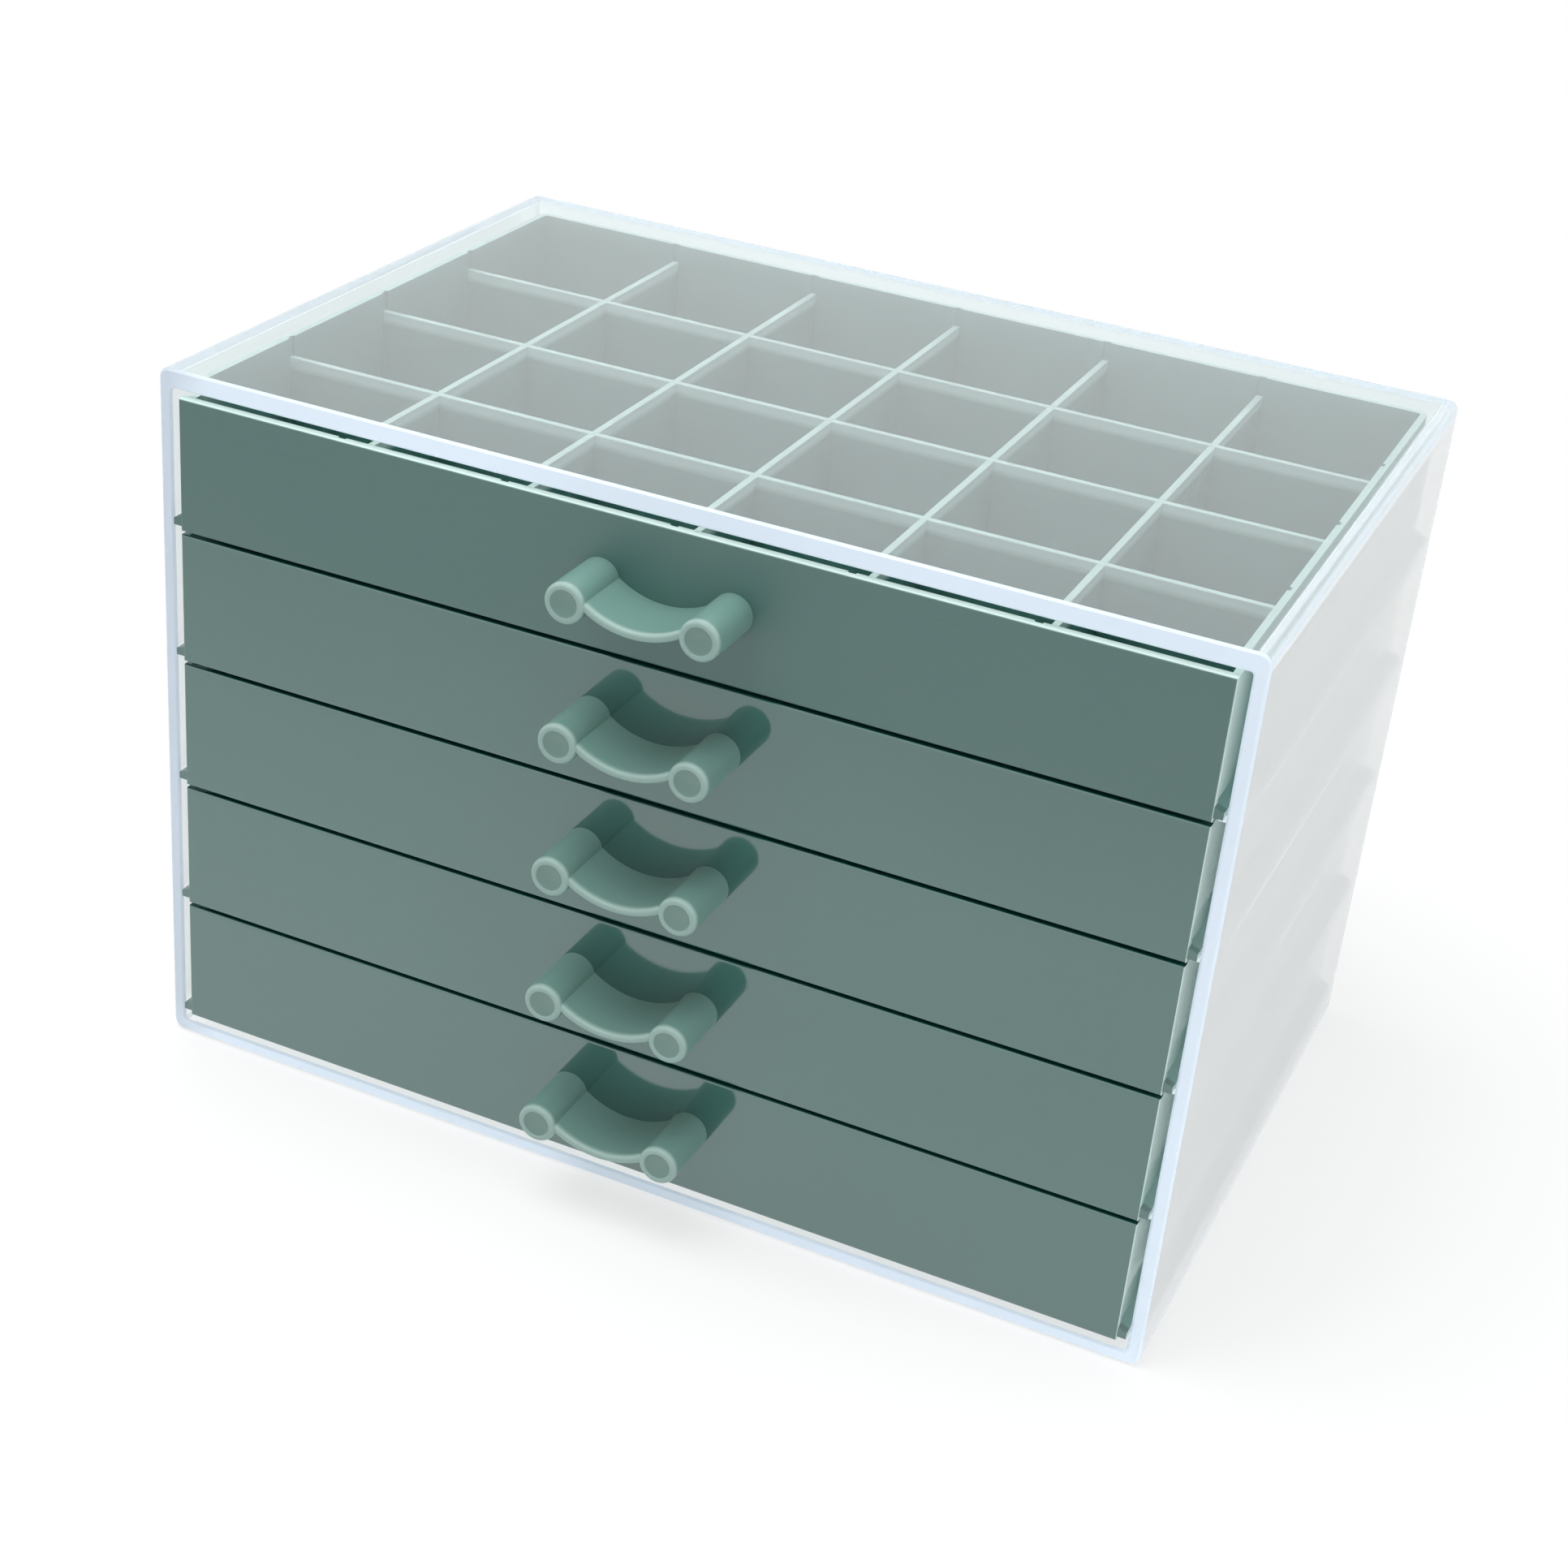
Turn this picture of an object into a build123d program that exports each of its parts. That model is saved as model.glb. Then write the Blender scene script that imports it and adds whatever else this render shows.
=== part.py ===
from build123d import *
import os

# Small drawer storage box: a clear case, open at the front, with five green drawers.
# Millimetres. The origin is the centre of the case's underside, +Z is up and the
# drawers pull out towards -Y.

# Case
case_width = 235.0
case_depth = 156.5
case_height = 161.2
case_wall = 3.0
case_top_wall = 4.2
case_corner_radius = 2.4
case_inner_radius = 0.8
case_rim_chamfer = 0.5

# Drawers and their fronts
drawer_count = 5
front_gap = 0.8
front_bottom_gap = 2.5
front_top_gap = 1.3
front_side_gap = 2.3
front_thickness = 2.0
front_reach = 0.9
front_edge_radius = 0.5

# Tray behind each front
tray_wall = 1.5
tray_floor = 1.5
tray_side_inset = 0.3
tray_wall_drop = 0.6
tray_floor_lift = 1.0
tray_tail = 1.8
tray_corner_radius = 2.5

# Flange along each side of a tray, and the rail in the case that carries it
flange_wall_clearance = 0.4
flange_root_height = 2.4
flange_tip_height = 1.5
flange_front_setback = 0.3
flange_rear_clearance = 0.3
rail_height = 1.6
rail_clearance = 0.3
rail_tray_clearance = 0.4
rail_setback = 1.4
rail_edge_chamfer = 0.4

# Dividers, crossed in half laps and standing in grooves
column_count = 6
row_count = 4
divider_thickness = 1.5
divider_drop = 4.3
groove_depth = 0.6
groove_clearance = 0.1
groove_end_play = 0.2
lap_clearance = 0.1

# Pull: two posts with a sagging web between them
pull_spacing = 28.6
pull_post_diameter = 8.6
pull_length = 15.0
pull_end_chamfer = 0.9
web_thickness = 1.8
web_sag = 3.0
web_edge_height = 1.0
web_setback = 0.5
web_edge_chamfer = 0.4
peg_width = 3.4
peg_clearance = 0.05

# Worked out from the sizes above
front_y = -case_depth / 2
inner_back_y = case_depth / 2 - case_wall
inner_side_x = case_width / 2 - case_wall
inner_top_z = case_height - case_top_wall
stack_height = inner_top_z - front_top_gap - case_wall - front_bottom_gap
front_height = (stack_height - (drawer_count - 1) * front_gap) / drawer_count
drawer_pitch = front_height + front_gap

front_face_y = front_y - front_reach
front_inner_y = front_face_y + front_thickness
front_half_width = inner_side_x - front_side_gap
tray_half_width = front_half_width - tray_side_inset
flange_end_y = inner_back_y - flange_rear_clearance
tray_back_y = flange_end_y - tray_tail
flange_tip_x = inner_side_x - flange_wall_clearance

cell_half_span = tray_half_width - tray_wall
cell_back_y = tray_back_y - tray_wall
cell_width = (2 * cell_half_span - (column_count - 1) * divider_thickness) / column_count
cell_depth = (cell_back_y - front_inner_y - (row_count - 1) * divider_thickness) / row_count


def block(x_low, x_high, y_low, y_high, z_low, z_high):
    """A box between two corners."""
    middle = ((x_low + x_high) / 2, (y_low + y_high) / 2, (z_low + z_high) / 2)
    return Pos(*middle) * Box(x_high - x_low, y_high - y_low, z_high - z_low)


def front_bottom(level):
    """Height of the lower edge of a drawer's front, level 1 being the top drawer."""
    lowest = case_wall + front_bottom_gap
    return lowest + (drawer_count - level) * drawer_pitch


def column_line(column):
    """X of the middle of the divider that follows a column."""
    return -cell_half_span + column * (cell_width + divider_thickness) - divider_thickness / 2


def row_line(row):
    """Y of the middle of the divider that follows a row, counted from the front."""
    return front_inner_y + row * (cell_depth + divider_thickness) - divider_thickness / 2


def floor_top(level):
    """Height of the upper face of a drawer's floor."""
    return front_bottom(level) + tray_floor_lift + tray_floor


def wall_top(level):
    """Height of the upper edge of a drawer's side and back walls."""
    return front_bottom(level) + front_height - tray_wall_drop


def divider_top(level):
    """Height of the upper edge of a drawer's dividers."""
    return wall_top(level) - divider_drop


def case_rail(level, side):
    """One ledge on the inside of a side wall, under the flange of the drawer at that level."""
    top = front_bottom(level) + tray_floor_lift - rail_clearance
    tip_x = tray_half_width + rail_tray_clearance
    root_x = inner_side_x + case_wall / 2
    start_y = front_inner_y + rail_setback
    rail = block(tip_x, root_x, start_y, inner_back_y + case_wall / 2, top - rail_height, top)
    tip_edges = rail.edges().filter_by(Axis.Y).group_by(Axis.X)[0]
    rail = chamfer(tip_edges, rail_edge_chamfer)
    return rail if side > 0 else mirror(rail, Plane.YZ)


def make_case():
    """The clear outer case: five walls, open at the front, with a pair of rails for each drawer."""
    case = Pos(0, 0, case_height / 2) * Box(case_width, case_depth, case_height)
    back_edges = case.edges().group_by(Axis.Y)[-1]
    case = fillet(case.edges().filter_by(Axis.Y) + back_edges, case_corner_radius)
    cavity = block(-inner_side_x, inner_side_x, front_y - case_wall, inner_back_y,
                   case_wall, inner_top_z)
    case -= fillet(cavity.edges().filter_by(Axis.Y), case_inner_radius)
    case = chamfer(case.edges().group_by(Axis.Y)[0], case_rim_chamfer)
    for level in range(1, drawer_count + 1):
        for side in (-1, 1):
            case += case_rail(level, side)
    return case


def tray_flange(level, side):
    """The tapered flange along one side of a tray, which runs on a rail of the case."""
    low = front_bottom(level) + tray_floor_lift
    root_x = tray_half_width - tray_wall / 2
    outline = Polyline((root_x, low), (flange_tip_x, low), (flange_tip_x, low + flange_tip_height),
                       (tray_half_width, low + flange_root_height),
                       (root_x, low + flange_root_height), close=True)
    section = Plane.XZ * make_face(outline)
    start_y = front_face_y + flange_front_setback
    flange = Pos(0, start_y, 0) * extrude(section, -(flange_end_y - start_y))
    return flange if side > 0 else mirror(flange, Plane.YZ)


def divider_grooves(level):
    """The cutters for the grooves that hold the ends of the dividers."""
    half_groove = divider_thickness / 2 + groove_clearance
    low = floor_top(level)
    high = front_bottom(level) + front_height + front_gap
    cutters = []
    for column in range(1, column_count):
        middle = column_line(column)
        cutters.append(block(middle - half_groove, middle + half_groove,
                             front_inner_y - groove_depth, cell_back_y + groove_depth, low, high))
    for row in range(1, row_count):
        middle = row_line(row)
        cutters.append(block(-cell_half_span - groove_depth, cell_half_span + groove_depth,
                             middle - half_groove, middle + half_groove, low, high))
    return cutters


def make_tray(level):
    """One drawer moulding: front, floor, side and back walls and the two flanges."""
    low = front_bottom(level)
    panel = block(-front_half_width, front_half_width, front_face_y, front_inner_y,
                  low, low + front_height)
    panel = fillet(panel.edges().group_by(Axis.Y)[0], front_edge_radius)

    tub = block(-tray_half_width, tray_half_width, front_inner_y - front_thickness / 2, tray_back_y,
                low + tray_floor_lift, wall_top(level))
    back_corners = tub.edges().filter_by(Axis.Z).group_by(Axis.Y)[-1]
    tub = fillet(back_corners, tray_corner_radius)
    tray = panel + tub

    hollow = block(-cell_half_span, cell_half_span, front_inner_y, cell_back_y,
                   floor_top(level), low + front_height + front_gap)
    hollow_corners = hollow.edges().filter_by(Axis.Z).group_by(Axis.Y)[-1]
    tray -= fillet(hollow_corners, tray_corner_radius - tray_wall)
    tray -= divider_grooves(level)

    hole_width = peg_width + 2 * peg_clearance
    for side in (-1, 1):
        tray += tray_flange(level, side)
        peg_hole = Box(hole_width, 3 * front_thickness, hole_width)
        tray -= Pos(side * pull_spacing / 2, front_face_y, low + front_height / 2) * peg_hole
    return tray


def make_pull(level):
    """The pull of one drawer: two round posts with square pegs, joined by a sagging web."""
    post_radius = pull_post_diameter / 2
    chord_half = pull_spacing / 2 - post_radius
    arc_radius = (chord_half ** 2 + web_sag ** 2) / (2 * web_sag)
    arc_centre = web_edge_height - web_sag + arc_radius

    web_band = Pos(0, arc_centre) * (Circle(arc_radius + web_thickness) - Circle(arc_radius))
    web_window = Pos(0, arc_centre - arc_radius) * Rectangle(pull_spacing, arc_radius)
    web = extrude(Plane.XZ * (web_band & web_window), pull_length - web_setback)
    web_front = web.faces().sort_by(Axis.Y)[0]
    web = chamfer(web_front.edges().filter_by(GeomType.CIRCLE), web_edge_chamfer)

    pull = web
    for side in (-1, 1):
        post = extrude(Plane.XZ * Circle(post_radius), pull_length)
        post = chamfer(post.faces().sort_by(Axis.Y)[0].edges(), pull_end_chamfer)
        post += extrude(Plane.XZ * Rectangle(peg_width, peg_width), -front_thickness)
        pull += Pos(side * pull_spacing / 2, 0, 0) * post
    return Pos(0, front_face_y, front_bottom(level) + front_height / 2) * pull


def make_long_divider(level, column):
    """A divider that runs from front to back, notched from above where it meets the cross ones."""
    low = floor_top(level)
    high = divider_top(level)
    lap_height = (low + high) / 2
    reach = groove_depth - groove_end_play
    middle = column_line(column)
    strip = block(middle - divider_thickness / 2, middle + divider_thickness / 2,
                  front_inner_y - reach, cell_back_y + reach, low, high)
    half_notch = divider_thickness / 2 + lap_clearance
    for row in range(1, row_count):
        notch_y = row_line(row)
        strip -= block(middle - divider_thickness, middle + divider_thickness,
                       notch_y - half_notch, notch_y + half_notch,
                       lap_height - lap_clearance, high + divider_thickness)
    return strip


def make_cross_divider(level, row):
    """A divider that runs from side to side, notched from below where it meets the long ones."""
    low = floor_top(level)
    high = divider_top(level)
    lap_height = (low + high) / 2
    reach = groove_depth - groove_end_play
    middle = row_line(row)
    strip = block(-cell_half_span - reach, cell_half_span + reach,
                  middle - divider_thickness / 2, middle + divider_thickness / 2, low, high)
    half_notch = divider_thickness / 2 + lap_clearance
    for column in range(1, column_count):
        notch_x = column_line(column)
        strip -= block(notch_x - half_notch, notch_x + half_notch,
                       middle - divider_thickness, middle + divider_thickness,
                       low - divider_thickness, lap_height + lap_clearance)
    return strip


def main():
    """Write one file for each piece."""
    os.makedirs("parts", exist_ok=True)
    export_step(make_case(), "parts/outer_case.step")
    for level in range(1, drawer_count + 1):
        name = f"drawer_{level}"
        export_step(make_tray(level), f"parts/{name}_tray.step")
        export_step(make_pull(level), f"parts/{name}_pull.step")
        for column in range(1, column_count):
            strip = make_long_divider(level, column)
            export_step(strip, f"parts/{name}_long_divider_{column}.step")
        for row in range(1, row_count):
            strip = make_cross_divider(level, row)
            export_step(strip, f"parts/{name}_cross_divider_{row}.step")


main()
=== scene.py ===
import math
import bmesh
import bpy
from mathutils import Matrix, Vector


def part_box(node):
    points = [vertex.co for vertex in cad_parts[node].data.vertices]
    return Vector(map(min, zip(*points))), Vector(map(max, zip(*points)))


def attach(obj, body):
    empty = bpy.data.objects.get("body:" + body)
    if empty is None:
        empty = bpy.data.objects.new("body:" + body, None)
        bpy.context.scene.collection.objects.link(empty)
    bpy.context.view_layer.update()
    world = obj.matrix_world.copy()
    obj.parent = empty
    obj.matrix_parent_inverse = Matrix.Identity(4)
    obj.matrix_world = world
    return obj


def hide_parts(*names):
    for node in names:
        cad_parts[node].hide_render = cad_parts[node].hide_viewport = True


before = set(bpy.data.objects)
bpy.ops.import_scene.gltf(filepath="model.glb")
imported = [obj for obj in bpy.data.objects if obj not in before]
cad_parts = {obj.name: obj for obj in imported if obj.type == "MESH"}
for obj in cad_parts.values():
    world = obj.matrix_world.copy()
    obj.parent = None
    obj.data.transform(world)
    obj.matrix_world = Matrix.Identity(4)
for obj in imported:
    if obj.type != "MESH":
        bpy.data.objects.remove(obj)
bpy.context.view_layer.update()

# The photo's camera, fitted to the case: metres and radians
CAMERA_PLACE = Vector((0.20125, -0.51079, 0.36045))
CAMERA_HEADING = 0.3812
CAMERA_DOWNTILT = 0.4959
CAMERA_ROLL = 0.0981
CAMERA_LENS_MM = 62.35
SENSOR_MM = 36.0
CAMERA_NEAR = 0.01

# Drawers, and the kinds of divider in each with their count
DRAWERS = 5
DIVIDER_KINDS = (("long", 5), ("cross", 3))
DIVIDER_ROUNDING = 0.0002
ROUNDING_STEPS = 2
WELD_DISTANCE = 0.00001
ROUNDED_ANGLE = math.radians(40)

# The case's corners, and how deep its front rim goes, in metres
CASE_CORNER_RADIUS = 0.0024
RIM_DEPTH = 0.0006

# Posts of a pull, in metres
POST_SPACING = 0.0286
POST_RADIUS = 0.0043
POST_LENGTH = 0.0150
POST_ROUNDING = 0.0009
POST_COLLAR = 1.6 * POST_ROUNDING
POST_ROUNDING_STEPS = 8
POST_SEGMENTS = 64
DIMPLE_RADIUS = 0.0029
DIMPLE_DEPTH = 0.00035
DIMPLE_SLOPE = 0.0004
DIMPLE_LIP = 0.0001
DIMPLE_LIP_DEPTH = 0.6 * DIMPLE_DEPTH
PEG_WIDTH = 0.0034

# Web of a pull, in metres
WEB_THICKNESS = 0.0018
WEB_SAG = 0.0030
WEB_EDGE_HEIGHT = 0.0010
WEB_SETBACK = 0.0005
WEB_ROUNDING = 0.0007
WEB_ROUNDING_STEPS = 4
WEB_COLLAR = 2.2 * WEB_ROUNDING
WEB_INTO_POST = 0.35 * POST_RADIUS
WEB_SEGMENTS = 32
PULL_SHARP_ANGLE = math.radians(35)

# How far past its exact size a marked rim still counts, as a share
POST_MARK_MARGIN = 1.02
RIM_MARK_MARGIN = 1.1

# Colours of the plastics, as linear red, green and blue
SAGE_GREEN = (0.010, 0.084, 0.071, 1.0)
# Thin walls, the same green painted paler: painted light for the light that passes through them
THIN_WALL_PAINTED_LIGHT_GREEN = (0.090, 0.240, 0.208, 1.0)
PULL_GREEN = (0.155, 0.290, 0.255, 1.0)
# Painted shade in the dimples at the ends of the posts
DIMPLE_SHADE_GREEN = (0.100, 0.205, 0.178, 1.0)
# Painted highlight on top edges, on tray side corners and on pull rims
PAINTED_HIGHLIGHT_GREEN = (0.62, 0.77, 0.72, 1.0)
DRAWER_SPECULAR_TINT = (0.88, 1.0, 0.985, 1.0)
CLEAR_TINT = (0.97, 0.995, 1.0, 1.0)
TOP_TINT = (0.875, 0.98, 0.985, 1.0)
RIM_TINT = (0.68, 0.77, 0.87, 1.0)
ROUNDED_EDGE_TINT = (0.80, 0.88, 0.91, 1.0)
# Painted glow inside the clear walls, for light caught there
PAINTED_TRAPPED_GLOW = (0.125, 0.140, 0.155, 1.0)
BLACK = (0.0, 0.0, 0.0, 1.0)
WHITE = (1.0, 1.0, 1.0, 1.0)

# Walls of the case: tint, share of the light that passes, and sheen
CLEAR_WALL_LOOK = (CLEAR_TINT, 0.95, 0.0)
SIDE_WALL_LOOK = (CLEAR_TINT, 0.84, 0.9)
TOP_WALL_LOOK = (TOP_TINT, 0.95, 0.0)
SHEEN_ROUGHNESS = 0.35

# Edges of the case: tint, share of the light that passes, painted glow, painted shade at the left end and
# painted light at the bottom
FRONT_RIM_LOOK = (RIM_TINT, 0.25, 0.14, 0.74, 1.12)
ROUNDED_EDGE_LOOK = (ROUNDED_EDGE_TINT, 0.75, 0.02, 1.0, 1.0)

# Index of refraction; the green ones are set by the brightness of the reflections in the photo
CLEAR_IOR = 1.59
DRAWER_IOR = 2.45
DIVIDER_IOR = 1.8
PULL_IOR = 1.9

# Roughness, from the glossiest patch to the dullest
SATIN_FRONT_GLOSS = (0.52, 0.58)
GLOSSY_FRONT_GLOSS = (0.05, 0.09)
DIVIDER_GLOSS = (0.10, 0.16)
PULL_GLOSS = (0.30, 0.38)
CLEAR_EDGE_GLOSS = (0.20, 0.28)
FLOOR_ROUGHNESS = (0.99, 1.0)
HAIRLINE_ROUGHNESS_GREEN = 0.2
HAIRLINE_ROUGHNESS_CLEAR = 0.06

# Fine surface: scales of the noises in cycles per metre, bump as distance and strength
CLOUD_SCALE = 12.0
DRAWER_RIPPLES = 26.0
PULL_RIPPLES = 60.0
GREEN_PEEL_PER_RIPPLE = 30.0
CLEAR_FACE_RIPPLES = {"Ripple Scale": 18.0, "Peel Scale": 500.0}
CLEAR_EDGE_RIPPLES = {"Ripple Scale": 40.0, "Peel Scale": 700.0}
PEEL_SHARE = 0.05
GREEN_BUMP = (0.0004, 0.10)
CLEAR_BUMP = (0.0003, 0.08)
FLOOR_GRAIN_SCALE = 60.0

# Hairlines: scale, stretch along the axes, range of the noise, and strength
LENGTHWISE_LINES = (260.0, (0.05, 1.0, 1.3), (0.66, 0.74), (0.0, 1.0))
UPRIGHT_LINES = (240.0, (1.2, 1.0, 0.06), (0.67, 0.75), (0.0, 0.7))
HAIRLINES_ON_GREEN = 0.25
HAIRLINES_ON_CLEAR = 0.5

# Ranges that masks are made from; places are shares of a piece's box, 0 to 1
ALL = (0.0, 1.0)
BOX_MIDDLE = 0.5
NOISE_MIDDLE = (0.3, 0.7)
GREEN_TONE = (0.95, 1.05)
CLEAR_TONE = (0.985, 1.0)
LOOKS_UP = (0.5, 0.8)
LOOKS_SIDEWAYS = (0.6, 0.8)
BEHIND_FRONT = (0.012, 0.016)
OUTSIDE_OF_TRAY = (0.480, 0.486)
NEAR_FRONT = (0.025, 0.085)
CORNER_HIGHLIGHT = (0.9, 0.0)
TRAY_HIGHLIGHT_EDGE = {"Start": 0.970, "Full": 0.978, "Upward": 1.0}
DIVIDER_HIGHLIGHT_EDGE = {"Start": 0.86, "Full": 0.93, "Upward": 0.0}
PULL_TURN = (-0.5, 0.6)
PULL_RIM_HIGHLIGHT = (0.05, 0.28)
FULLY_REFLECTED = (0.5, 0.95)
CASE_END = (0.01, 0.05)

# Floor and room
PALE_FLOOR = (0.90, 0.905, 0.91, 1.0)
FLOOR_HALF_SIZE = 4.0
FLOOR_DROP = 0.0002
FILL_DISTANCE = (0.15, 0.60)
FILL_AMOUNT = (0.66, 1.0)
# Painted shade on the floor as reflections see it: fading far in front, and a patch on the right close by
FAR_IN_FRONT = (-0.12, -0.42)
FAR_PAINTED_FALLOFF = (1.0, 0.70)
ON_THE_RIGHT = (-0.10, 0.04)
RIGHT_PAINTED_SHADE = (0.0, 0.08)
CLOSE_IN_FRONT = (-0.22, -0.15)
ROOM_LEVEL = 0.56

# Square lamps: name, place, aim, side in metres and radiance
LAMPS = (("top softbox", (-0.35, -0.25, 1.45), (0.0, -0.05, 0.0), 1.0, 5.2),
         ("side softbox", (1.40, -0.10, 0.70), (0.0, 0.0, 0.08), 0.8, 3.0))

# Finishes of the case's faces, as the numbers of their material slots
CLEAR_FACE, SIDE_WALL, FRONT_RIM, ROUNDED_EDGE, TOP_WALL = range(5)


def set_socket(node, name, value):
    """Sets one input of a node by its name."""
    node.inputs[name].default_value = value


def feed(tree, socket, value):
    """Feeds an input from a socket, or sets it to a plain value."""
    if isinstance(value, bpy.types.NodeSocket):
        tree.links.new(value, socket)
    else:
        socket.default_value = value


def math_node(tree, operation, first, second=None, clamp=False):
    """A Math node fed by sockets or plain numbers; returns its output."""
    node = tree.nodes.new("ShaderNodeMath")
    node.operation = operation
    node.use_clamp = clamp
    feed(tree, node.inputs[0], first)
    if second is not None:
        feed(tree, node.inputs[1], second)
    return node.outputs[0]


def remap(tree, value, source, target=ALL):
    """A Map Range node from one range to another; the limits are plain numbers or sockets."""
    node = tree.nodes.new("ShaderNodeMapRange")
    tree.links.new(value, node.inputs["Value"])
    for name, limit in zip(("From Min", "From Max", "To Min", "To Max"), source + target):
        feed(tree, node.inputs[name], limit)
    return node.outputs["Result"]


def mix_colour(tree, factor, first, second, blend="MIX"):
    """A colour mix; the factor, first and second are sockets or plain values."""
    node = tree.nodes.new("ShaderNodeMix")
    node.data_type = "RGBA"
    node.blend_type = blend
    for slot, value in ((0, factor), (6, first), (7, second)):
        feed(tree, node.inputs[slot], value)
    return node.outputs[2]


def split_axes(tree, vector):
    """The X, Y and Z of a vector."""
    node = tree.nodes.new("ShaderNodeSeparateXYZ")
    tree.links.new(vector, node.inputs[0])
    return node.outputs


def coordinates(tree, kind):
    """The Object or Generated coordinates."""
    return tree.nodes.new("ShaderNodeTexCoord").outputs[kind]


def face_direction(tree):
    """The X, Y and Z of the direction that a face looks in."""
    return split_axes(tree, tree.nodes.new("ShaderNodeNewGeometry").outputs["Normal"])


def noise(tree, place, scale, detail, stretch=(1.0, 1.0, 1.0)):
    """A noise value on object coordinates, drawn out along the axes by stretch."""
    mapping = tree.nodes.new("ShaderNodeMapping")
    set_socket(mapping, "Scale", stretch)
    tree.links.new(place, mapping.inputs["Vector"])
    texture = tree.nodes.new("ShaderNodeTexNoise")
    feed(tree, texture.inputs["Scale"], scale)
    set_socket(texture, "Detail", detail)
    tree.links.new(mapping.outputs["Vector"], texture.inputs["Vector"])
    return texture.outputs["Fac"]


def new_group(name, inputs, outputs):
    """A shader node group; inputs are (name, default) and outputs are names, all plain values."""
    group = bpy.data.node_groups.new(name, "ShaderNodeTree")
    for label, default in inputs:
        socket = group.interface.new_socket(label, in_out="INPUT", socket_type="NodeSocketFloat")
        socket.default_value = default
    for label in outputs:
        group.interface.new_socket(label, in_out="OUTPUT", socket_type="NodeSocketFloat")
    return group, group.nodes.new("NodeGroupInput"), group.nodes.new("NodeGroupOutput")


def moulded_surface_group():
    """Slow ripples, fine peel and uneven tone of an injection-moulded face."""
    inputs = [("Ripple Scale", 30.0), ("Peel Scale", 900.0)]
    group, given, put = new_group("moulded surface", inputs, ["Tone", "Gloss", "Height"])
    place = coordinates(group, "Object")
    ripple = noise(group, place, given.outputs["Ripple Scale"], detail=1.0)
    peel = noise(group, place, given.outputs["Peel Scale"], detail=2.0)
    cloud = noise(group, place, CLOUD_SCALE, detail=3.0)
    group.links.new(remap(group, cloud, NOISE_MIDDLE, GREEN_TONE), put.inputs["Tone"])
    group.links.new(remap(group, cloud, NOISE_MIDDLE), put.inputs["Gloss"])
    height = math_node(group, "ADD", ripple, math_node(group, "MULTIPLY", peel, PEEL_SHARE))
    group.links.new(height, put.inputs["Height"])
    return group


def painted_highlight_top_group():
    """A painted highlight along the upper edge of a thin wall, where light gathers; Upward keeps it to
    faces that look up.
    """
    inputs = [("Start", 0.90), ("Full", 0.97), ("Upward", 0.0)]
    group, given, put = new_group("painted highlight top edge", inputs, ["Edge"])
    height = split_axes(group, coordinates(group, "Generated"))["Z"]
    looks_up = remap(group, face_direction(group)["Z"], LOOKS_UP)
    any_way = math_node(group, "SUBTRACT", 1.0, given.outputs["Upward"])
    looks_up = math_node(group, "MAXIMUM", looks_up, any_way)
    edge = remap(group, height, (given.outputs["Start"], given.outputs["Full"]))
    group.links.new(math_node(group, "MULTIPLY", edge, looks_up), put.inputs["Edge"])
    return group


def stretched_lines(tree, place, scale, stretch, source, target):
    """Lines from a noise that is drawn out along an axis."""
    return remap(tree, noise(tree, place, scale, detail=4.0, stretch=stretch), source, target)


def hairline_group():
    """Faint hairlines from handling, lengthwise and upright, as a mask."""
    group, given, put = new_group("hairlines", [("Amount", 1.0)], ["Marks"])
    place = coordinates(group, "Object")
    lengthwise = stretched_lines(group, place, *LENGTHWISE_LINES)
    upright = stretched_lines(group, place, *UPRIGHT_LINES)
    marks = math_node(group, "MAXIMUM", lengthwise, upright)
    marks = math_node(group, "MULTIPLY", marks, given.outputs["Amount"], clamp=True)
    group.links.new(marks, put.inputs["Marks"])
    return group


def place_group(tree, group, values):
    """Places a node group in a material and sets its inputs."""
    node = tree.nodes.new("ShaderNodeGroup")
    node.node_tree = group
    for name, value in values.items():
        set_socket(node, name, value)
    return node


def new_material(name):
    """A material with a Principled shader; returns the material, its tree and the shader."""
    material = bpy.data.materials.new(name)
    material.use_nodes = True
    tree = material.node_tree
    return material, tree, tree.nodes["Principled BSDF"]


def tinted(tree, colour, tone):
    """A plain colour times a tone that changes over the surface."""
    grey = tree.nodes.new("ShaderNodeCombineColor")
    for channel in grey.inputs:
        tree.links.new(tone, channel)
    return mix_colour(tree, 1.0, colour, grey.outputs[0], "MULTIPLY")


def add_bump(tree, shader, height, bump_size):
    """Feeds a height through a Bump node into the shader's normal."""
    distance, strength = bump_size
    bump = tree.nodes.new("ShaderNodeBump")
    set_socket(bump, "Distance", distance)
    set_socket(bump, "Strength", strength)
    tree.links.new(height, bump.inputs["Height"])
    tree.links.new(bump.outputs["Normal"], shader.inputs["Normal"])


def finish_plastic(tree, shader, groups, colour, gloss, ripples):
    """Colour, uneven gloss, hairlines and ripples that all the green mouldings share."""
    scales = {"Ripple Scale": ripples, "Peel Scale": GREEN_PEEL_PER_RIPPLE * ripples}
    surface = place_group(tree, groups["moulded"], scales)
    marks = place_group(tree, groups["hairlines"], {"Amount": HAIRLINES_ON_GREEN})
    tree.links.new(tinted(tree, colour, surface.outputs["Tone"]), shader.inputs["Base Color"])
    rough = remap(tree, surface.outputs["Gloss"], ALL, gloss)
    scuffed = math_node(tree, "MULTIPLY", marks.outputs["Marks"], HAIRLINE_ROUGHNESS_GREEN)
    tree.links.new(math_node(tree, "ADD", rough, scuffed), shader.inputs["Roughness"])
    add_bump(tree, shader, surface.outputs["Height"], GREEN_BUMP)


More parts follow.
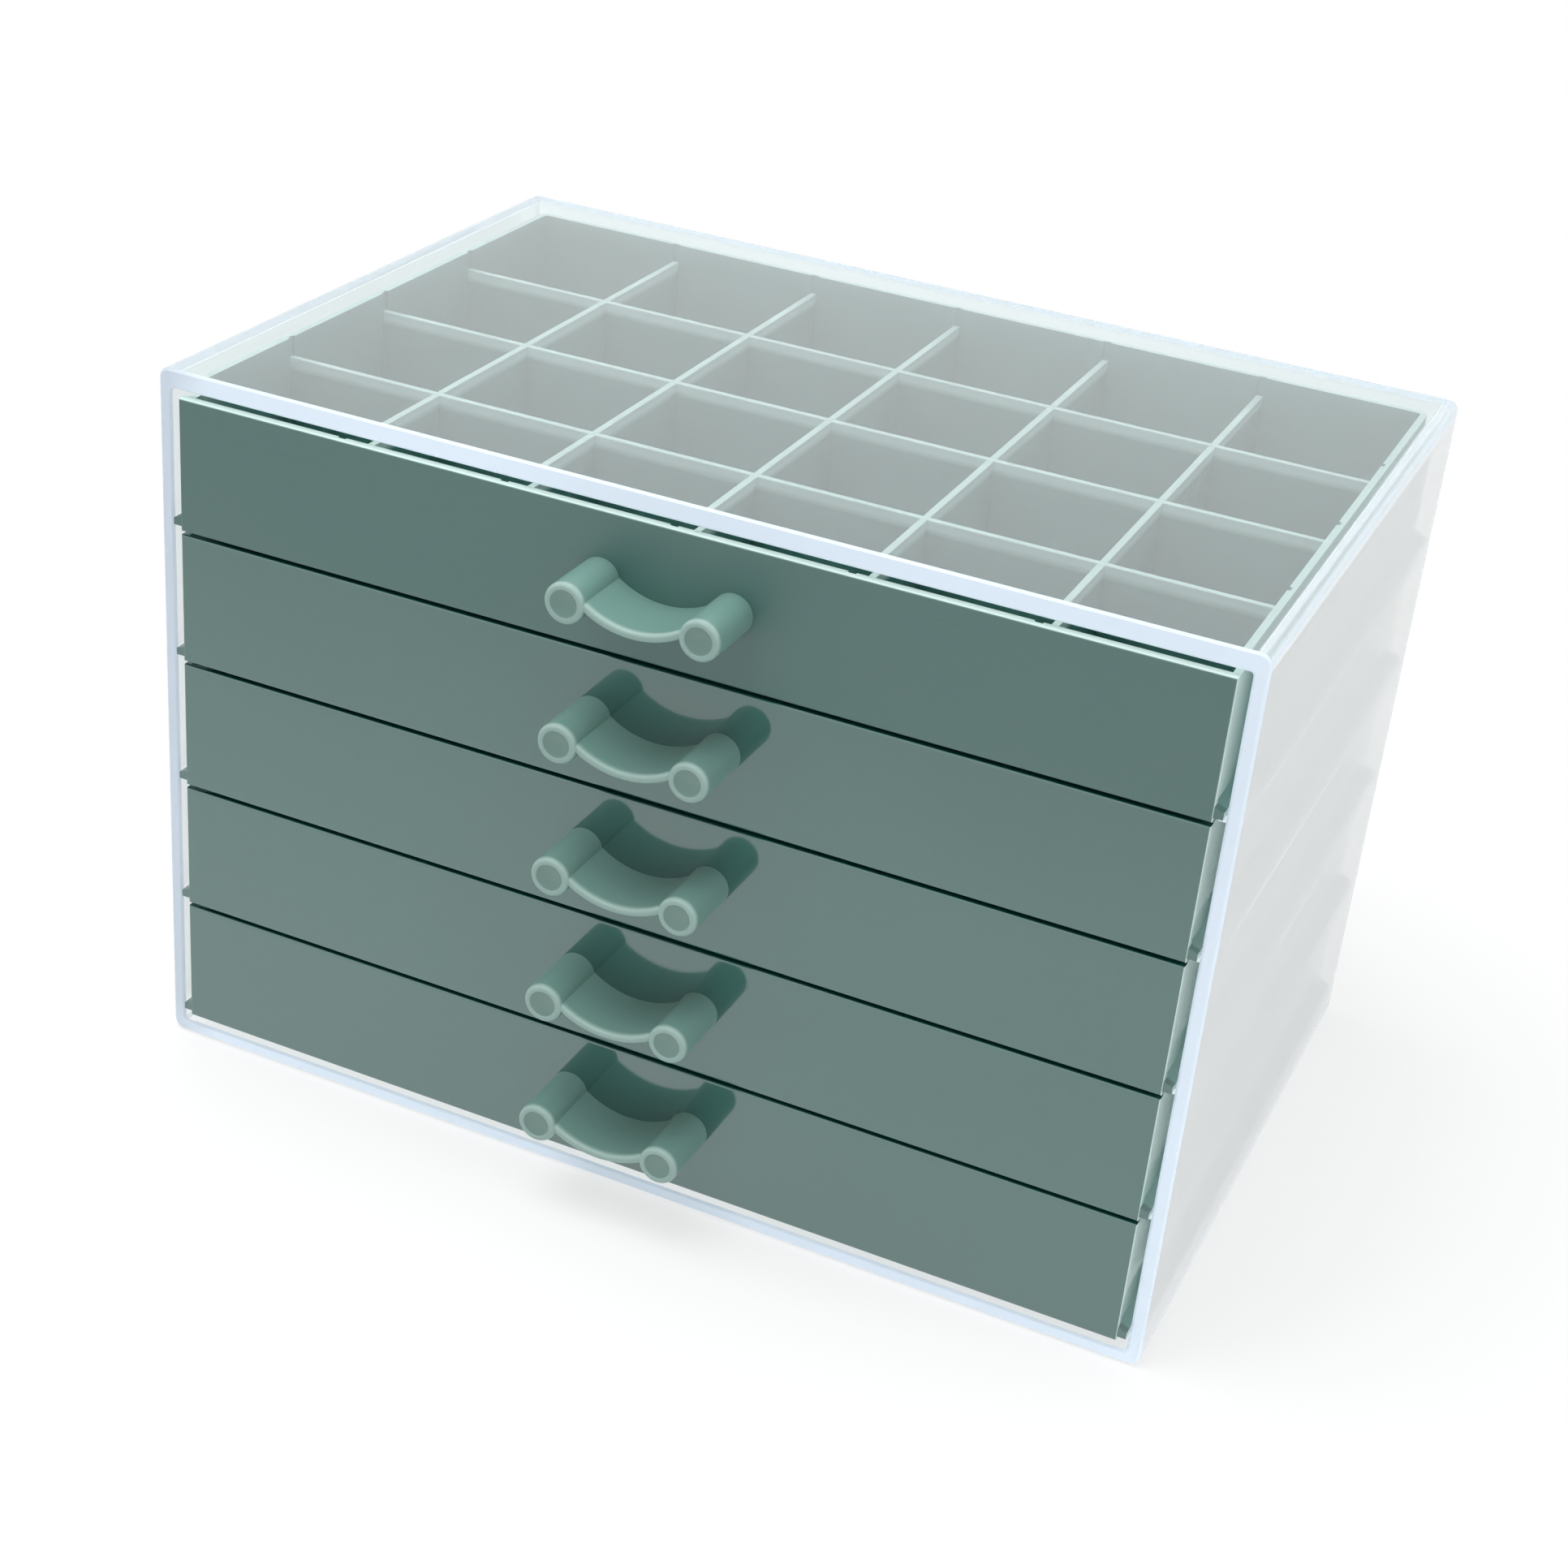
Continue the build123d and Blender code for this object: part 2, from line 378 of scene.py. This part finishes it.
def painted_highlight_corner(tree, place):
    """Mask of a painted highlight on the outside of a tray's side walls close behind the front."""
    sideways = math_node(tree, "ABSOLUTE", face_direction(tree)["X"])
    sideways = remap(tree, sideways, LOOKS_SIDEWAYS)
    off_middle = math_node(tree, "ABSOLUTE", math_node(tree, "SUBTRACT", place["X"], BOX_MIDDLE))
    outside = remap(tree, off_middle, OUTSIDE_OF_TRAY)
    near_front = remap(tree, place["Y"], NEAR_FRONT, CORNER_HIGHLIGHT)
    return math_node(tree, "MULTIPLY", math_node(tree, "MULTIPLY", sideways, outside), near_front)


def tray_plastic(name, groups, gloss, highlight_on_front):
    """Drawer plastic: deep green front, thin walls painted paler as painted light for the light they let
    through, and painted highlights on the edges.
    """
    material, tree, shader = new_material(name)
    place = split_axes(tree, coordinates(tree, "Generated"))
    behind_front = remap(tree, place["Y"], BEHIND_FRONT)
    colour = mix_colour(tree, behind_front, SAGE_GREEN, THIN_WALL_PAINTED_LIGHT_GREEN)
    # Painted highlight on the top edges of the walls; the glossy fronts keep it off the front
    highlighted_edge = place_group(tree, groups["painted highlight top"], TRAY_HIGHLIGHT_EDGE).outputs["Edge"]
    if not highlight_on_front:
        highlighted_edge = math_node(tree, "MULTIPLY", highlighted_edge, behind_front)
    # pale is the painted highlight mask
    pale = math_node(tree, "MAXIMUM", highlighted_edge, painted_highlight_corner(tree, place))
    colour = mix_colour(tree, pale, colour, PAINTED_HIGHLIGHT_GREEN)
    finish_plastic(tree, shader, groups, colour, gloss, DRAWER_RIPPLES)
    set_socket(shader, "IOR", DRAWER_IOR)
    set_socket(shader, "Specular Tint", DRAWER_SPECULAR_TINT)
    return material


def divider_plastic(groups):
    """Divider strips: thin, painted paler as painted light for the light they let through, with a painted
    highlight along the top.
    """
    material, tree, shader = new_material("divider plastic")
    edge = place_group(tree, groups["painted highlight top"], DIVIDER_HIGHLIGHT_EDGE)
    colour = mix_colour(tree, edge.outputs["Edge"], THIN_WALL_PAINTED_LIGHT_GREEN, PAINTED_HIGHLIGHT_GREEN)
    finish_plastic(tree, shader, groups, colour, DIVIDER_GLOSS, DRAWER_RIPPLES)
    set_socket(shader, "IOR", DIVIDER_IOR)
    return material


def mesh_mask(tree, name):
    """A mask that a mesh carries as an attribute."""
    mask = tree.nodes.new("ShaderNodeAttribute")
    mask.attribute_name = name
    return mask.outputs["Fac"]


def pull_plastic(groups):
    """Satin plastic with a painted highlight on the rims, stronger on faces that look up, and painted
    shade in the dimples, which the mesh marks.
    """
    material, tree, shader = new_material("satin pull plastic")
    # Painted highlight on the rims, stronger where they look up; pale is its mask
    from_above = remap(tree, face_direction(tree)["Z"], PULL_TURN, PULL_RIM_HIGHLIGHT)
    pale = math_node(tree, "MULTIPLY", mesh_mask(tree, "rim"), from_above)
    colour = mix_colour(tree, mesh_mask(tree, "dimple"), PULL_GREEN, DIMPLE_SHADE_GREEN)
    colour = mix_colour(tree, pale, colour, PAINTED_HIGHLIGHT_GREEN)
    finish_plastic(tree, shader, groups, colour, PULL_GLOSS, PULL_RIPPLES)
    set_socket(shader, "IOR", PULL_IOR)
    return material


def painted_trapped_glow(tree, outer_colour):
    """Painted glow: emission for light caught inside a clear wall; outer_colour is the emission of its
    outside.
    """
    bounce = tree.nodes.new("ShaderNodeFresnel")
    set_socket(bounce, "IOR", CLEAR_IOR)
    inside = tree.nodes.new("ShaderNodeNewGeometry").outputs["Backfacing"]
    caught = remap(tree, bounce.outputs["Fac"], FULLY_REFLECTED)
    inner = mix_colour(tree, caught, BLACK, PAINTED_TRAPPED_GLOW)
    return mix_colour(tree, inside, outer_colour, inner)


def clear_shader(tree, shader, transmission, glow):
    """Refraction, clearness and emission, a painted glow, that all the finishes of the clear case share.
    """
    tree.links.new(painted_trapped_glow(tree, glow), shader.inputs["Emission Color"])
    set_socket(shader, "Emission Strength", 1.0)
    set_socket(shader, "IOR", CLEAR_IOR)
    set_socket(shader, "Transmission Weight", transmission)


def clear_plastic(name, groups, tint, transmission, sheen):
    """Clear polished plastic; what it doesn't transmit is haze, and the sheen is fine scuffing."""
    material, tree, shader = new_material(name)
    surface = place_group(tree, groups["moulded"], CLEAR_FACE_RIPPLES)
    marks = place_group(tree, groups["hairlines"], {"Amount": HAIRLINES_ON_CLEAR})
    tone = remap(tree, surface.outputs["Gloss"], ALL, CLEAR_TONE)
    tree.links.new(tinted(tree, tint, tone), shader.inputs["Base Color"])
    rough = math_node(tree, "MULTIPLY", marks.outputs["Marks"], HAIRLINE_ROUGHNESS_CLEAR)
    tree.links.new(rough, shader.inputs["Roughness"])
    clear_shader(tree, shader, transmission, BLACK)
    set_socket(shader, "Sheen Weight", sheen)
    set_socket(shader, "Sheen Roughness", SHEEN_ROUGHNESS)
    add_bump(tree, shader, surface.outputs["Height"], CLEAR_BUMP)
    return material


def clear_edge_plastic(name, groups, tint, transmission, glow, left_painted_shade, bottom_painted_light):
    """A milky edge of the clear case with a painted glow; the last two are painted tones, shade at the
    left end and light at the bottom.
    """
    material, tree, shader = new_material(name)
    surface = place_group(tree, groups["moulded"], CLEAR_EDGE_RIPPLES)
    place = split_axes(tree, coordinates(tree, "Generated"))
    # Painted shade towards the left end and painted light towards the bottom
    painted_shade_at_left = remap(tree, place["X"], CASE_END, (left_painted_shade, 1.0))
    painted_light_at_bottom = remap(tree, place["Z"], CASE_END, (bottom_painted_light, 1.0))
    painted_end_tones = math_node(tree, "MULTIPLY", painted_shade_at_left, painted_light_at_bottom)
    tone = math_node(tree, "MULTIPLY", surface.outputs["Tone"], painted_end_tones)
    tree.links.new(tinted(tree, tint, tone), shader.inputs["Base Color"])
    rough = remap(tree, surface.outputs["Gloss"], ALL, CLEAR_EDGE_GLOSS)
    tree.links.new(rough, shader.inputs["Roughness"])
    # Painted glow on the outside of the edge
    outer_glow = tuple(glow * channel for channel in tint[:3]) + (1.0,)
    clear_shader(tree, shader, transmission, outer_glow)
    add_bump(tree, shader, surface.outputs["Height"], CLEAR_BUMP)
    return material


def mirrored_or_through(tree, path):
    """1 for rays that are reflected or transmitted on their way from the camera."""
    return math_node(tree, "MAXIMUM", path.outputs["Is Glossy Ray"], path.outputs["Is Transmission Ray"])


def mirrored_white(tree, object_place):
    """The floor's white as reflections see it, with painted shade: less far off in front, and on the
    right close by.
    """
    place = split_axes(tree, object_place)
    white = tree.nodes.new("ShaderNodeEmission")
    far_in_front = remap(tree, place["Y"], FAR_IN_FRONT, FAR_PAINTED_FALLOFF)
    on_the_right = remap(tree, place["X"], ON_THE_RIGHT, RIGHT_PAINTED_SHADE)
    close_by = remap(tree, place["Y"], CLOSE_IN_FRONT)
    # Painted shade on the right close by
    shade = math_node(tree, "MULTIPLY", on_the_right, close_by)
    tree.links.new(math_node(tree, "SUBTRACT", far_in_front, shade), white.inputs["Strength"])
    return white


def mix_shaders(tree, factor, first, second):
    """A shader mix of two shader nodes."""
    mix = tree.nodes.new("ShaderNodeMixShader")
    tree.links.new(factor, mix.inputs[0])
    tree.links.new(first.outputs[0], mix.inputs[1])
    tree.links.new(second.outputs[0], mix.inputs[2])
    return mix


def floor_material():
    """Pale matt floor that keeps the shadow close by and is white further off and in reflections, where
    painted shade dims it far in front and on the right close by.
    """
    material, tree, shader = new_material("pale floor")
    object_place = coordinates(tree, "Object")
    grain = noise(tree, object_place, FLOOR_GRAIN_SCALE, detail=4.0)
    tree.links.new(remap(tree, grain, NOISE_MIDDLE, FLOOR_ROUGHNESS), shader.inputs["Roughness"])
    set_socket(shader, "Base Color", PALE_FLOOR)
    set_socket(shader, "Specular IOR Level", 0.0)
    path = tree.nodes.new("ShaderNodeLightPath")
    distance = tree.nodes.new("ShaderNodeVectorMath")
    distance.operation = "LENGTH"
    tree.links.new(object_place, distance.inputs[0])
    fill = remap(tree, distance.outputs["Value"], FILL_DISTANCE, FILL_AMOUNT)
    fill = math_node(tree, "MULTIPLY", fill, path.outputs["Is Camera Ray"])
    seen_white = tree.nodes.new("ShaderNodeEmission")
    seen = mix_shaders(tree, fill, shader, seen_white)
    in_reflections = mirrored_or_through(tree, path)
    final = mix_shaders(tree, in_reflections, seen, mirrored_white(tree, object_place))
    tree.links.new(final.outputs[0], tree.nodes["Material Output"].inputs["Surface"])
    return material


def build_world():
    """White to the camera, in reflections and through the plastic; a plain level for all else."""
    world = bpy.data.worlds.new("studio")
    bpy.context.scene.world = world
    world.use_nodes = True
    tree = world.node_tree
    background = tree.nodes["Background"]
    path = tree.nodes.new("ShaderNodeLightPath")
    seen = math_node(tree, "MAXIMUM", mirrored_or_through(tree, path), path.outputs["Is Camera Ray"])
    tree.links.new(remap(tree, seen, ALL, (ROOM_LEVEL, 1.0)), background.inputs["Strength"])
    set_socket(background, "Color", WHITE)


def softbox(name, place, aim, side, radiance):
    """A square lamp whose face has the given radiance, hidden from the camera and reflections."""
    lamp = bpy.data.lights.new(name, "AREA")
    lamp.shape = "RECTANGLE"
    lamp.size = side
    lamp.size_y = side
    lamp.energy = radiance * math.pi * side * side
    lamp_object = bpy.data.objects.new(name, lamp)
    bpy.context.scene.collection.objects.link(lamp_object)
    lamp_object.location = place
    direction = Vector(aim) - Vector(place)
    lamp_object.rotation_euler = direction.to_track_quat("-Z", "Y").to_euler()
    lamp_object.visible_camera = False
    lamp_object.visible_glossy = False


def build_floor():
    """A wide flat floor just under the case."""
    mesh = bpy.data.meshes.new("floor")
    half = FLOOR_HALF_SIZE
    corners = [(-half, -half, -FLOOR_DROP), (half, -half, -FLOOR_DROP),
               (half, half, -FLOOR_DROP), (-half, half, -FLOOR_DROP)]
    mesh.from_pydata(corners, [], [(0, 1, 2, 3)])
    floor = new_object("floor", mesh)
    mesh.materials.append(floor_material())


def build_camera():
    """The camera at the photo's place, heading, downtilt, roll and lens."""
    data = bpy.data.cameras.new("photo camera")
    data.sensor_width = SENSOR_MM
    data.lens = CAMERA_LENS_MM
    data.clip_start = CAMERA_NEAR
    camera = new_object("photo camera", data)
    forward = Vector((-math.sin(CAMERA_HEADING) * math.cos(CAMERA_DOWNTILT),
                      math.cos(CAMERA_HEADING) * math.cos(CAMERA_DOWNTILT),
                      -math.sin(CAMERA_DOWNTILT)))
    right = forward.cross(Vector((0.0, 0.0, 1.0))).normalized()
    up = right.cross(forward)
    rolled_right = math.cos(CAMERA_ROLL) * right + math.sin(CAMERA_ROLL) * up
    rolled_up = math.cos(CAMERA_ROLL) * up - math.sin(CAMERA_ROLL) * right
    turn = Matrix((rolled_right, rolled_up, -forward)).transposed()
    camera.matrix_world = Matrix.Translation(CAMERA_PLACE) @ turn.to_4x4()
    bpy.context.scene.camera = camera


def new_object(name, data):
    """Links a new object with the given mesh or camera."""
    piece = bpy.data.objects.new(name, data)
    bpy.context.scene.collection.objects.link(piece)
    return piece


def case_finish(centre, low, high):
    """The finish of one of the case's faces, by the place of its middle in the case's box."""
    if centre.y < low.y + RIM_DEPTH:
        return FRONT_RIM
    at_sides = [centre.x < low.x + CASE_CORNER_RADIUS, centre.x > high.x - CASE_CORNER_RADIUS]
    at_top = centre.z > high.z - CASE_CORNER_RADIUS
    at_others = [centre.y > high.y - CASE_CORNER_RADIUS, centre.z < low.z + CASE_CORNER_RADIUS, at_top]
    if sum(at_sides + at_others) >= 2:
        return ROUNDED_EDGE
    if at_top:
        return TOP_WALL
    return SIDE_WALL if any(at_sides) else CLEAR_FACE


def build_case_shell(groups):
    """The case's own solid, with finishes of their own on its rim, edges, side walls and top."""
    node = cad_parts["outer_case"]
    low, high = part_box("outer_case")
    mesh = node.data.copy()
    mesh.materials.clear()
    finishes = {
        CLEAR_FACE: clear_plastic("clear plastic", groups, *CLEAR_WALL_LOOK),
        SIDE_WALL: clear_plastic("clear plastic side wall", groups, *SIDE_WALL_LOOK),
        FRONT_RIM: clear_edge_plastic("clear plastic rim", groups, *FRONT_RIM_LOOK),
        ROUNDED_EDGE: clear_edge_plastic("clear plastic rounded edge", groups, *ROUNDED_EDGE_LOOK),
        TOP_WALL: clear_plastic("clear plastic top", groups, *TOP_WALL_LOOK),
    }
    for number in sorted(finishes):
        mesh.materials.append(finishes[number])
    for face in mesh.polygons:
        face.material_index = case_finish(face.center, low, high)
    shell = new_object("case_shell", mesh)
    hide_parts("outer_case")
    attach(shell, "case")


def post_outline():
    """Radius and depth from the front end, from the middle of the dimple to the back of a post."""
    points = [(0.0, DIMPLE_DEPTH), (DIMPLE_RADIUS - DIMPLE_SLOPE, DIMPLE_DEPTH),
              (DIMPLE_RADIUS - DIMPLE_LIP, DIMPLE_LIP_DEPTH), (DIMPLE_RADIUS + DIMPLE_LIP, 0.0)]
    for step in range(POST_ROUNDING_STEPS + 1):
        angle = math.pi / 2 * step / POST_ROUNDING_STEPS
        points.append((POST_RADIUS - POST_ROUNDING + POST_ROUNDING * math.sin(angle),
                       POST_ROUNDING - POST_ROUNDING * math.cos(angle)))
    for depth in (POST_COLLAR, POST_LENGTH / 2, POST_LENGTH):
        points.append((POST_RADIUS, depth))
    return points


def lathe(mesh_data, outline, middle_x, middle_z, front_y):
    """Turns an outline about a line along Y and closes it at the back."""
    rings = []
    tip = mesh_data.verts.new((middle_x, front_y + outline[0][1], middle_z))
    for radius, depth in outline[1:]:
        ring = []
        for step in range(POST_SEGMENTS):
            angle = 2 * math.pi * step / POST_SEGMENTS
            ring.append(mesh_data.verts.new((middle_x + radius * math.cos(angle), front_y + depth,
                                             middle_z + radius * math.sin(angle))))
        rings.append(ring)
    for step in range(POST_SEGMENTS):
        following = (step + 1) % POST_SEGMENTS
        mesh_data.faces.new((tip, rings[0][step], rings[0][following]))
        for near, far in zip(rings, rings[1:]):
            mesh_data.faces.new((near[step], far[step], far[following], near[following]))
    mesh_data.faces.new(rings[-1])


def square_peg(mesh_data, middle_x, middle_z, start_y, end_y):
    """A square peg along Y, from inside a post to the back of the drawer's front."""
    size = Matrix.Diagonal((PEG_WIDTH, end_y - start_y, PEG_WIDTH, 1.0))
    place = Matrix.Translation((middle_x, (start_y + end_y) / 2, middle_z))
    bmesh.ops.create_cube(mesh_data, size=1.0, matrix=place @ size)


def web_section():
    """Height above the lower face and depth from the front of the web, with a rounded front edge."""
    points = []
    for corner_height, half_turns in ((WEB_ROUNDING, 1.5), (WEB_THICKNESS - WEB_ROUNDING, 1.0)):
        for step in range(WEB_ROUNDING_STEPS + 1):
            angle = math.pi * (half_turns - 0.5 * step / WEB_ROUNDING_STEPS)
            points.append((corner_height + WEB_ROUNDING * math.sin(angle),
                           WEB_ROUNDING + WEB_ROUNDING * math.cos(angle)))
    depth = POST_LENGTH - WEB_SETBACK
    lower = [(0.0, depth), (0.0, WEB_COLLAR)]
    upper = [(WEB_THICKNESS, WEB_COLLAR), (WEB_THICKNESS, depth)]
    return lower + points + upper


def sweep_web(mesh_data, middle_z, front_y):
    """Sweeps the web's section along its sagging arc, from inside one post to inside the other."""
    chord_half = POST_SPACING / 2 - POST_RADIUS
    arc_radius = (chord_half ** 2 + WEB_SAG ** 2) / (2 * WEB_SAG)
    arc_centre = middle_z + WEB_EDGE_HEIGHT - WEB_SAG + arc_radius
    reach = math.asin((chord_half + WEB_INTO_POST) / arc_radius)
    rows = []
    for step in range(WEB_SEGMENTS + 1):
        angle = -reach + 2 * reach * step / WEB_SEGMENTS
        row = []
        for height, depth in web_section():
            radius = arc_radius + WEB_THICKNESS - height
            row.append(mesh_data.verts.new((radius * math.sin(angle), front_y + WEB_SETBACK + depth,
                                            arc_centre - radius * math.cos(angle))))
        rows.append(row)
    count = len(rows[0])
    for near, far in zip(rows, rows[1:]):
        for step in range(count):
            following = (step + 1) % count
            mesh_data.faces.new((near[step], near[following], far[following], far[step]))
    mesh_data.faces.new(rows[0])
    mesh_data.faces.new(list(reversed(rows[-1])))


def solid_from(name, build, *sizes):
    """A mesh object from a function that fills a bmesh, with its faces turned outwards."""
    mesh_data = bmesh.new()
    build(mesh_data, *sizes)
    bmesh.ops.recalc_face_normals(mesh_data, faces=mesh_data.faces)
    mesh = bpy.data.meshes.new(name)
    mesh_data.to_mesh(mesh)
    mesh_data.free()
    return new_object(name, mesh)


def joined(base, others):
    """The union of a solid with others, as a new mesh; the helpers are removed."""
    for other in others:
        union = base.modifiers.new("union", "BOOLEAN")
        union.operation = "UNION"
        union.solver = "EXACT"
        union.object = other
    shapes = bpy.context.evaluated_depsgraph_get()
    mesh = bpy.data.meshes.new_from_object(base.evaluated_get(shapes))
    for helper in [base] + others:
        bpy.data.objects.remove(helper, do_unlink=True)
    return mesh


def mark_rims(mesh, middle_z, front_y):
    """Marks the points on a rounded front rim, for a painted highlight, and those in a dimple, for
    painted shade.
    """
    rim = mesh.attributes.new("rim", "FLOAT", "POINT")
    dimple = mesh.attributes.new("dimple", "FLOAT", "POINT")
    for index, vertex in enumerate(mesh.vertices):
        place = vertex.co
        depth = place.y - front_y
        sideways = min(abs(place.x - POST_SPACING / 2), abs(place.x + POST_SPACING / 2))
        from_axis = math.hypot(sideways, place.z - middle_z)
        on_post = DIMPLE_RADIUS < from_axis < POST_MARK_MARGIN * POST_RADIUS
        rim_depth = POST_ROUNDING if on_post else WEB_SETBACK + WEB_ROUNDING
        in_dimple = from_axis < DIMPLE_RADIUS and depth < POST_ROUNDING
        in_rim = depth < RIM_MARK_MARGIN * rim_depth and not in_dimple
        dimple.data[index].value = float(in_dimple)
        rim.data[index].value = float(in_rim)


def build_pull(level, material):
    """One pull: two lathed posts with dimpled, rounded ends, their pegs and the web between them."""
    node_name = f"drawer_{level}_pull"
    low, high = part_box(node_name)
    front_y = low.y
    middle_z = high.z - POST_RADIUS
    peg_start_y = front_y + POST_LENGTH - POST_ROUNDING
    parts = []
    for middle_x in (-POST_SPACING / 2, POST_SPACING / 2):
        parts.append(solid_from("post", lathe, post_outline(), middle_x, middle_z, front_y))
        parts.append(solid_from("peg", square_peg, middle_x, middle_z, peg_start_y, high.y))
    web = solid_from("web", sweep_web, middle_z, front_y)
    mesh = joined(web, parts)
    mesh.name = f"pull_{level}"
    mesh.materials.clear()
    mesh.materials.append(material)
    mesh.shade_smooth()
    mesh.set_sharp_from_angle(angle=PULL_SHARP_ANGLE)
    mark_rims(mesh, middle_z, front_y)
    pull = new_object(f"pull_{level}", mesh)
    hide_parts(node_name)
    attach(pull, f"drawer_{level}")


def soften_edges(node, width):
    """Rounds the sharp edges of a CAD node a little; the mesh itself stays as it is."""
    weld = node.modifiers.new("weld", "WELD")
    weld.merge_threshold = WELD_DISTANCE
    rounding = node.modifiers.new("rounding", "BEVEL")
    rounding.width = width
    rounding.segments = ROUNDING_STEPS
    rounding.limit_method = "ANGLE"
    rounding.angle_limit = ROUNDED_ANGLE


def dress(node, material):
    """Gives a CAD node its material through the slots it came with."""
    for slot in node.material_slots:
        slot.material = material


def dress_drawers(groups):
    """Finishes the trays and dividers and builds the pulls; only the top front is satin."""
    satin_front = tray_plastic("sage green satin plastic", groups, SATIN_FRONT_GLOSS, True)
    glossy_front = tray_plastic("sage green glossy plastic", groups, GLOSSY_FRONT_GLOSS, False)
    strip_finish = divider_plastic(groups)
    pull_finish = pull_plastic(groups)
    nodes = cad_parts
    for level in range(1, DRAWERS + 1):
        dress(nodes[f"drawer_{level}_tray"], satin_front if level == 1 else glossy_front)
        for kind, count in DIVIDER_KINDS:
            for number in range(1, count + 1):
                strip = nodes[f"drawer_{level}_{kind}_divider_{number}"]
                dress(strip, strip_finish)
                soften_edges(strip, DIVIDER_ROUNDING)
        build_pull(level, pull_finish)


def build_studio():
    """Room light, floor and lamps."""
    build_world()
    build_floor()
    for name, place, aim, side, radiance in LAMPS:
        softbox(name, place, aim, side, radiance)


groups = {"moulded": moulded_surface_group(), "painted highlight top": painted_highlight_top_group(), "hairlines": hairline_group()}
build_case_shell(groups)
dress_drawers(groups)
build_studio()
build_camera()

bpy.context.scene.view_settings.view_transform = "Standard"
